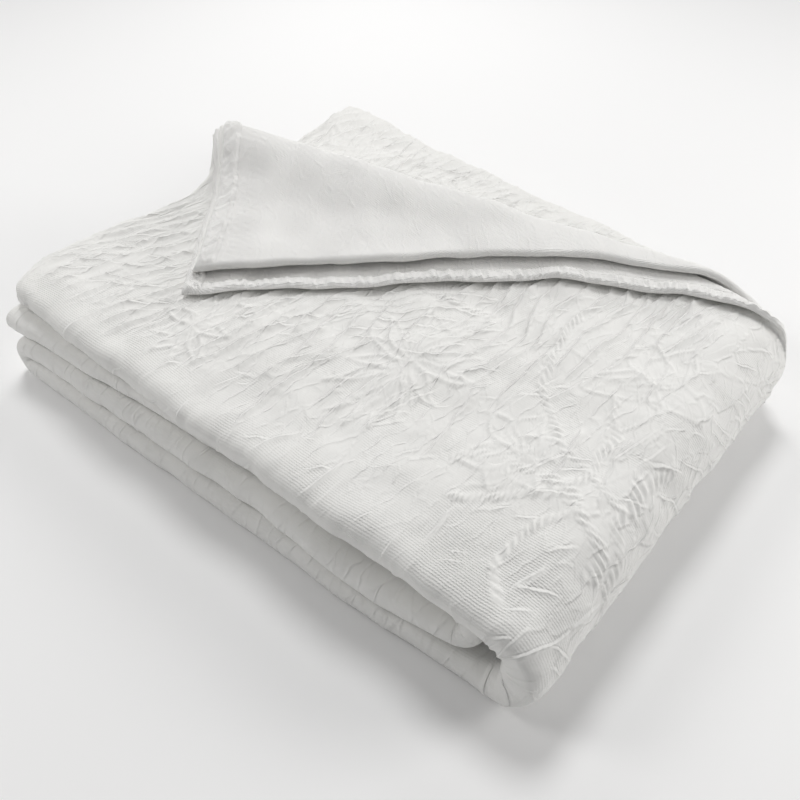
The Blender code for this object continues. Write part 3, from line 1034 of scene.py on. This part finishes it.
def cloth_skins(places, column):
    """The folded cloth's two sides as grids of points, with what its finish needs."""
    points, first = cloth_grid(places, column)
    across, along = cloth_coordinates(points, places, first)
    normals = grid_normals(points)
    relief, ground, pleats = face_relief(across, along)

    lifted = soft_step(*FLOOR_FADE, points[..., 2])
    seen = np.full(across.shape, HIDDEN_RELIEF)
    for name, last in (("top", "under"), ("back fold", "rear")):
        seen[first[name]:first[last]] = 1
    if column == 2:
        seen = seen * ROLL_RELIEF
    else:
        behind = points[first["rear"]:first["inner nose"], :, 1] - fold_line(places)
        seen[first["rear"]:first["inner nose"]] = np.maximum(
            soft_step(*REAR_SEEN_FADE, behind), HIDDEN_RELIEF)
        rim = points[..., 1] - smooth_through(BACK_EDGE, places)
        rear = slice(first["under"], first["inner nose"])
        seen[rear] *= REAR_RIM + (1 - REAR_RIM) * soft_step(*REAR_RIM_FADE, rim[rear])
    half = half_thickness(points, along, column)
    face = points + normals * (half + relief * seen * lifted)[..., None]

    wavelength, run, height, seed = REVERSE_WAVE
    wave = height * smooth_noise(across / wavelength, along / run, seed)
    reverse = wave + IMPRINT * relief
    if column == 1:
        edge = across[0] - across
        hems = hem_relief(edge, along, SIDE_HEM_WIDTH, HEM_SEEDS[0])
        hems = hems + hem_relief(along - LEFT_HEM, across, HEM_WIDTH, HEM_SEEDS[1])
        for name, last in (("hem", "hem bend"), ("corner", "free end")):
            part = slice(first[name], first[last])
            reverse[part] += hems[part]
    back = points - normals * (half + reverse * lifted)[..., None]
    skins = {
        "middle": points, "face": face, "back": back, "first": first,
        "face normals": grid_normals(face), "back normals": -grid_normals(back),
        "across": across, "along": along, "values": {"ground": ground},
    }
    gathered = np.where(along < PATCH_LIMIT, soft_step(*BARE_NOSE, np.abs(across)), 1.0)
    gathered = GATHERED_NOSE + (1 - GATHERED_NOSE) * gathered
    end = soft_step(*END_GATHERS_FADE, along) * (along < PATCH_LIMIT)
    skins["values"]["gathered"] = gathered * (1 + END_GATHERS * end)
    for family, (count, shown) in enumerate(pleats):
        skins["values"][f"pleat_{family}"] = count
        skins["values"][f"pleat_{family}_share"] = shown * seen * seen
    return skins


def make_piece(name, skins, rows, columns, materials):
    """A piece of the cloth with both sides, closed all round."""
    first = skins["first"]
    vertices, faces, sides = [], [], []
    coordinates, normals = [], []
    values = {key: [] for key in skins["values"]}
    widest = longest = 0
    offset = 0
    for start, end in rows:
        part = (slice(first[start], first[end] + 1), slice(columns[0], columns[1] + 1))
        face, back = skins["face"][part], skins["back"][part]
        count_rows, count_columns = face.shape[:2]
        size = count_rows * count_columns
        index = np.arange(size).reshape(count_rows, count_columns) + offset
        under = index + size
        quads = np.stack((index[:-1, :-1], index[1:, :-1], index[1:, 1:], index[:-1, 1:]), axis=-1)
        quads = quads.reshape(-1, 4)
        rims = (
            (index[0, :-1], index[0, 1:], under[0, 1:], under[0, :-1]),
            (index[-1, 1:], index[-1, :-1], under[-1, :-1], under[-1, 1:]),
            (index[1:, 0], index[:-1, 0], under[:-1, 0], under[1:, 0]),
            (index[:-1, -1], index[1:, -1], under[1:, -1], under[:-1, -1]),
        )
        rim = np.concatenate([np.stack(side, axis=-1) for side in rims])
        vertices += [face.reshape(-1, 3), back.reshape(-1, 3)]
        faces += [quads, (quads + size)[:, ::-1], rim]
        sides += [np.zeros(len(quads), int), np.ones(len(quads) + len(rim), int)]
        place = np.stack((skins["across"][part], skins["along"][part]), axis=-1).reshape(-1, 2)
        coordinates += [place, place]
        normals += [skins[side][part].reshape(-1, 3) for side in ("face normals", "back normals")]
        for key, value in skins["values"].items():
            value = value[part].reshape(-1)
            values[key] += [value, value]
        width, length, area = cut_grid(skins["middle"][part])
        widest, longest = max(widest, length), longest + width
        offset += 2 * size

    vertices, faces = np.concatenate(vertices), np.concatenate(faces)
    sides, coordinates = np.concatenate(sides), np.concatenate(coordinates)
    mesh = bpy.data.meshes.new(name)
    mesh.vertices.add(len(vertices))
    mesh.vertices.foreach_set("co", vertices.ravel())
    mesh.loops.add(faces.size)
    mesh.loops.foreach_set("vertex_index", faces.ravel())
    mesh.polygons.add(len(faces))
    mesh.polygons.foreach_set("loop_start", np.arange(0, faces.size, 4))
    mesh.polygons.foreach_set("material_index", sides)
    mesh.polygons.foreach_set("use_smooth", np.ones(len(faces), bool))
    mesh.update(calc_edges=True)
    layer = mesh.uv_layers.new(name="cloth")
    layer.data.foreach_set("uv", coordinates[faces.ravel()].ravel())
    for key, parts in values.items():
        attribute = mesh.attributes.new(key, "FLOAT", "POINT")
        attribute.data.foreach_set("value", np.concatenate(parts))
    for material in materials:
        mesh.materials.append(material)
    mesh.normals_split_custom_set_from_vertices(np.concatenate(normals).tolist())

    piece = bpy.data.objects.new(name, mesh)
    bpy.context.scene.collection.objects.link(piece)
    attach(piece, "root")
    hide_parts(NODE)
    print(f"{name}: {2 * len(faces)} triangles, flat {widest:.3f} x {longest:.3f} m")


def new_group(name, inputs, outputs):
    """A node group with its named sockets, the values given to it, and its output node."""
    group = bpy.data.node_groups.new(name, "ShaderNodeTree")
    for label, kind, value in inputs:
        socket = group.interface.new_socket(label, in_out="INPUT", socket_type=kind)
        if value is not None:
            socket.default_value = value
    for label, kind in outputs:
        group.interface.new_socket(label, in_out="OUTPUT", socket_type=kind)
    given = group.nodes.new("NodeGroupInput").outputs
    return group, given, group.nodes.new("NodeGroupOutput")


def fill(tree, node, inputs):
    """Link the sockets and set the numbers that a node takes in; gives back the node."""
    for key, value in inputs.items():
        if isinstance(value, bpy.types.NodeSocket):
            tree.links.new(value, node.inputs[key])
        else:
            node.inputs[key].default_value = value
    return node


def math_node(tree, operation, *values):
    """A math node whose inputs are sockets or numbers; gives back its output."""
    node = tree.nodes.new("ShaderNodeMath")
    node.operation = operation
    return fill(tree, node, dict(enumerate(values))).outputs[0]


def vector_node(tree, operation, *values):
    node = tree.nodes.new("ShaderNodeVectorMath")
    node.operation = operation
    return fill(tree, node, dict(enumerate(values))).outputs[0]


def noise_node(tree, place, scale, detail):
    node = tree.nodes.new("ShaderNodeTexNoise")
    return fill(tree, node, {"Vector": place, "Scale": scale, "Detail": detail})


def wave_node(tree, place, spacing):
    """Sine of a place, which repeats at each spacing."""
    turn = math_node(tree, "DIVIDE", place, spacing)
    return math_node(tree, "SINE", math_node(tree, "MULTIPLY", turn, 2 * math.pi))


def bell_node(tree, value, middle, width):
    """A smooth peak of height one at a value."""
    off = math_node(tree, "SUBTRACT", value, middle)
    off = math_node(tree, "DIVIDE", off, width)
    return math_node(tree, "POWER", math.exp(-1), math_node(tree, "MULTIPLY", off, off))


def attribute_output(tree, name):
    node = tree.nodes.new("ShaderNodeAttribute")
    node.attribute_name = name
    return node.outputs["Fac"]


def weave_group():
    """Height of the woven threads: ribs along the strip, cross threads and loose fibres."""
    group, given, end = new_group("cotton_weave", (
        ("Cloth", "NodeSocketVector", None),
        ("Rib Spacing", "NodeSocketFloat", RIB_SPACING),
        ("Thread Spacing", "NodeSocketFloat", THREAD_SPACING),
        ("Rib Share", "NodeSocketFloat", 0.5),
        ("Twill", "NodeSocketFloat", 0.0),
    ), (("Height", "NodeSocketFloat"),))
    split = fill(group, group.nodes.new("ShaderNodeSeparateXYZ"), {0: given["Cloth"]}).outputs
    scale, detail, size = RIB_DRIFT
    wander = noise_node(group, given["Cloth"], scale, detail)
    drift = math_node(group, "MULTIPLY", wander.outputs["Fac"], size)
    across = math_node(group, "ADD", split["X"], drift)
    slanted = math_node(group, "MULTIPLY", split["Y"], given["Twill"])
    rib = wave_node(group, math_node(group, "ADD", across, slanted), given["Rib Spacing"])
    thread = wave_node(group, split["Y"], given["Thread Spacing"])
    cross = wave_node(group, split["X"], given["Thread Spacing"])
    basket = math_node(group, "MULTIPLY", thread, cross)
    scale, detail, size = FUZZ
    fuzz = noise_node(group, given["Cloth"], scale, detail)
    ribs = math_node(group, "MULTIPLY", rib, given["Rib Share"])
    height = math_node(group, "ADD", ribs, math_node(group, "MULTIPLY", basket, BASKET_RISE))
    loose = math_node(group, "SUBTRACT", fuzz.outputs["Fac"], 0.5)
    loose = math_node(group, "MULTIPLY", loose, size)
    fill(group, end, {"Height": math_node(group, "ADD", height, loose)})
    return group


def gather_group():
    """Height of the fine network of gathers that the woven-in threads pull up."""
    group, given, end = new_group(
        "gathers", (("Cloth", "NodeSocketVector", None), ("Share", "NodeSocketFloat", 1.0)),
        (("Height", "NodeSocketFloat"),))
    scale, detail, size = GATHER_BEND
    bend = noise_node(group, given["Cloth"], scale, detail)
    centred = vector_node(group, "SUBTRACT", bend.outputs["Color"], (0.5, 0.5, 0.5))
    bent = vector_node(group, "MULTIPLY_ADD", centred, (size, size, 0), given["Cloth"])
    scale, detail, low, high = GATHER_BREAK
    broken = noise_node(group, given["Cloth"], scale, detail).outputs["Fac"]
    limit, blend, puff = GATHER_PUFF
    total = None
    for index, (length, width, line, height, lean, shift) in enumerate(GATHERS):
        turned = group.nodes.new("ShaderNodeMapping")
        turned.vector_type = "TEXTURE"
        fill(group, turned, {
            "Vector": bent, "Location": (shift, GATHER_OFFSET, 0),
            "Rotation": (0, 0, math.radians(lean)), "Scale": (length, width, 1)})
        cells = group.nodes.new("ShaderNodeTexVoronoi")
        cells.voronoi_dimensions = "2D"
        cells.feature = "DISTANCE_TO_EDGE"
        fill(group, cells, {"Vector": turned.outputs[0], "Scale": 1.0})
        crest = bell_node(group, cells.outputs["Distance"], 0.0, line)
        lift = math_node(group, "SMOOTH_MIN", cells.outputs["Distance"], limit, blend)
        form = math_node(group, "MULTIPLY_ADD", lift, puff, crest)
        noise = math_node(group, "SUBTRACT", 1.0, broken) if index else broken
        shown = fill(group, group.nodes.new("ShaderNodeMapRange"), {
            "Value": noise, "From Min": low, "From Max": high})
        form = math_node(group, "MULTIPLY", form, shown.outputs[0])
        form = math_node(group, "MULTIPLY", form, height)
        total = form if total is None else math_node(group, "ADD", total, form)
    fill(group, end, {"Height": math_node(group, "MULTIPLY", total, given["Share"])})
    return group


def tone_group():
    """Slight unevenness in the whiteness of the cotton."""
    group, given, end = new_group("cotton_tone", (
        ("Cloth", "NodeSocketVector", None),
        ("Light", "NodeSocketColor", WHITE),
        ("Dark", "NodeSocketColor", WHITE),
    ), (("Color", "NodeSocketColor"),))
    scale, detail, share = TONE_CLOUD
    cloud = noise_node(group, given["Cloth"], scale, detail)
    mix = group.nodes.new("ShaderNodeMix")
    mix.data_type = "RGBA"
    fill(group, mix, {
        "Factor": math_node(group, "MULTIPLY", cloud.outputs["Fac"], share),
        6: given["Light"], 7: given["Dark"]})
    fill(group, end, {"Color": mix.outputs[2]})
    return group


def cotton_material(row, weave, gathers, tone):
    """Matt white cotton; the quilted side also sharpens its woven-in ridges."""
    name, roughness, spacing, rib_share, twill, thread_height, quilted, light, dark = row
    material = bpy.data.materials.new(name)
    material.use_nodes = True
    tree = material.node_tree
    place = tree.nodes.new("ShaderNodeUVMap")
    place.uv_map = "cloth"

    def group_node(group, inputs):
        node = tree.nodes.new("ShaderNodeGroup")
        node.node_tree = group
        return fill(tree, node, {"Cloth": place.outputs["UV"], **inputs})

    threads = group_node(weave, {"Rib Spacing": spacing, "Rib Share": rib_share, "Twill": twill})
    colour = group_node(tone, {"Light": light, "Dark": dark})
    height = math_node(tree, "MULTIPLY", threads.outputs["Height"], thread_height)
    if quilted:
        fine = group_node(gathers, {"Share": attribute_output(tree, "gathered")})
        height = math_node(tree, "MULTIPLY", height, attribute_output(tree, "ground"))
        height = math_node(tree, "ADD", height, fine.outputs["Height"])
        for family, pleats in enumerate(PLEATS):
            count = attribute_output(tree, f"pleat_{family}")
            share = attribute_output(tree, f"pleat_{family}_share")
            off = math_node(tree, "SUBTRACT", count, math_node(tree, "ROUND", count))
            off = math_node(tree, "MULTIPLY", off, pleats[2])
            crest = bell_node(tree, off, 0.0, CREST_WIDTH)
            groove = bell_node(tree, off, GROOVE_PLACE, CREST_WIDTH)
            line = math_node(tree, "SUBTRACT", crest, groove)
            line = math_node(tree, "MULTIPLY", line, share)
            height = math_node(tree, "MULTIPLY_ADD", line, CREST_HEIGHT, height)
    else:
        fine = group_node(gathers, {})
        height = math_node(tree, "MULTIPLY_ADD", fine.outputs["Height"], IMPRINT_SHARE, height)
    bump = fill(tree, tree.nodes.new("ShaderNodeBump"), {
        "Distance": 1.0, "Strength": 1.0, "Height": height})
    fill(tree, tree.nodes["Principled BSDF"], {
        "Roughness": roughness, "Sheen Weight": SHEEN, "Sheen Roughness": SHEEN_ROUGHNESS,
        "Specular IOR Level": SPECULAR, "Normal": bump.outputs["Normal"],
        "Base Color": colour.outputs["Color"]})
    return material


def build_cloth():
    groups = (weave_group(), gather_group(), tone_group())
    materials = [cotton_material(row, *groups) for row in COTTONS]

    run = STARTS["bottom"] - LEFT_HEM
    places = LEFT_HEM + run * np.linspace(0, 1, round(run / FINE_SPACING) + 1)
    places = np.insert(places, 1, LEFT_HEM + FINE_SPACING * np.array(EDGE_COLUMNS))
    skins = cloth_skins(places, 1)
    last = len(places) - 1
    half = last // 2
    for name, start, end, columns, rests_on in (
            ("top_left", "top", "under", (0, half), NODE),
            ("top_right", "top", "under", (half, last), NODE),
            ("rear_panel", "under", "inner nose", (0, last), NODE),
            ("inner_layer", "inner nose", "shared fold", (0, last), "rear_panel"),
            ("side_hem", "hem", "top", (0, last), "top_left"),
            ("turned_corner", "shared fold", "end", (0, last), "side_hem")):
        make_piece(name, skins, [(start, end)], columns, materials)

    run = STARTS["end"] - STARTS["bottom"]
    steps = round(run / PLAIN_SPACING)
    plain_places = STARTS["bottom"] + run * np.linspace(0, 1, steps + 1)
    fine_places = STARTS["bottom"] + run * np.linspace(0, 1, 2 * steps + 1)
    cuts = [0]
    for strip in ("left turn", "inner turn"):
        cuts.append(int(np.searchsorted(plain_places, STARTS[strip])))
    cuts.append(steps)
    plain_rows = [("hem", "nose"), ("under", "end")]
    fine_rows = [("nose", "under")]
    for form, places, rows, finer in (
            ("strip", plain_places, plain_rows, 1), ("roll", fine_places, fine_rows, 2)):
        skins = cloth_skins(places, 2)
        for index, level in enumerate(("bottom", "lower", "upper")):
            columns = (finer * cuts[index], finer * cuts[index + 1])
            make_piece(f"{level}_{form}", skins, rows, columns, materials)


def place_camera():
    """The photograph's view of the bundle."""
    azimuth = math.radians(CAMERA_AZIMUTH)
    elevation = math.radians(CAMERA_ELEVATION)
    roll = math.radians(CAMERA_ROLL)
    back = Vector((
        math.sin(azimuth) * math.cos(elevation),
        -math.cos(azimuth) * math.cos(elevation),
        math.sin(elevation)))
    level = (-back).cross(Vector((0, 0, 1))).normalized()
    rise = level.cross(-back)
    right = level * math.cos(roll) + rise * math.sin(roll)
    up = rise * math.cos(roll) - level * math.sin(roll)
    place = back * CAMERA_DISTANCE + right * CAMERA_RIGHT + up * CAMERA_UP
    place -= Vector((CENTRE_X, CENTRE_Y, 0))
    data = bpy.data.cameras.new("camera")
    data.sensor_width = SENSOR
    data.lens = SENSOR * FOCAL_PIXELS / PICTURE_PIXELS
    camera = bpy.data.objects.new("camera", data)
    matrix = Matrix.Identity(4)
    for axis in range(3):
        matrix[axis][0], matrix[axis][1] = right[axis], up[axis]
        matrix[axis][2], matrix[axis][3] = back[axis], place[axis]
    camera.matrix_world = matrix
    bpy.context.scene.collection.objects.link(camera)
    bpy.context.scene.camera = camera


def place_floor():
    bpy.ops.object.select_all(action="DESELECT")
    bpy.ops.mesh.primitive_plane_add(size=FLOOR_SIZE, location=(0, 0, 0))
    floor = bpy.context.object
    floor.name = "floor"
    material = bpy.data.materials.new("pale floor")
    material.use_nodes = True
    tree = material.node_tree
    fill(tree, tree.nodes["Principled BSDF"], {
        "Base Color": FLOOR_TONE, "Roughness": FLOOR_ROUGHNESS})
    floor.data.materials.append(material)


def aim_light(name, kind, place, energy):
    """A light at a place, aimed at the middle; gives back its data."""
    data = bpy.data.lights.new(name, kind)
    data.energy = energy
    light = bpy.data.objects.new(name, data)
    light.location = place
    light.rotation_euler = (-Vector(place)).to_track_quat("-Z", "Y").to_euler()
    bpy.context.scene.collection.objects.link(light)
    return data


def place_lights():
    for name, place, size, power, colour in LIGHTS:
        data = aim_light(name, "AREA", place, power)
        data.size = size
        data.color = colour
    aim_light("key", "SUN", KEY_FROM, KEY_STRENGTH).angle = math.radians(KEY_SOFTNESS)

    world = bpy.data.worlds.new("studio")
    bpy.context.scene.world = world
    world.use_nodes = True
    tree = world.node_tree
    soft = fill(tree, tree.nodes["Background"], {"Color": WHITE, "Strength": SKY_STRENGTH})
    white = fill(tree, tree.nodes.new("ShaderNodeBackground"), {
        "Color": WHITE, "Strength": WALL_STRENGTH})
    path = tree.nodes.new("ShaderNodeLightPath")
    mix = fill(tree, tree.nodes.new("ShaderNodeMixShader"), {
        0: path.outputs["Is Camera Ray"], 1: soft.outputs[0], 2: white.outputs[0]})
    fill(tree, tree.nodes["World Output"], {0: mix.outputs[0]})
    bpy.context.scene.view_settings.view_transform = "Standard"


place_camera()
build_cloth()
place_floor()
place_lights()
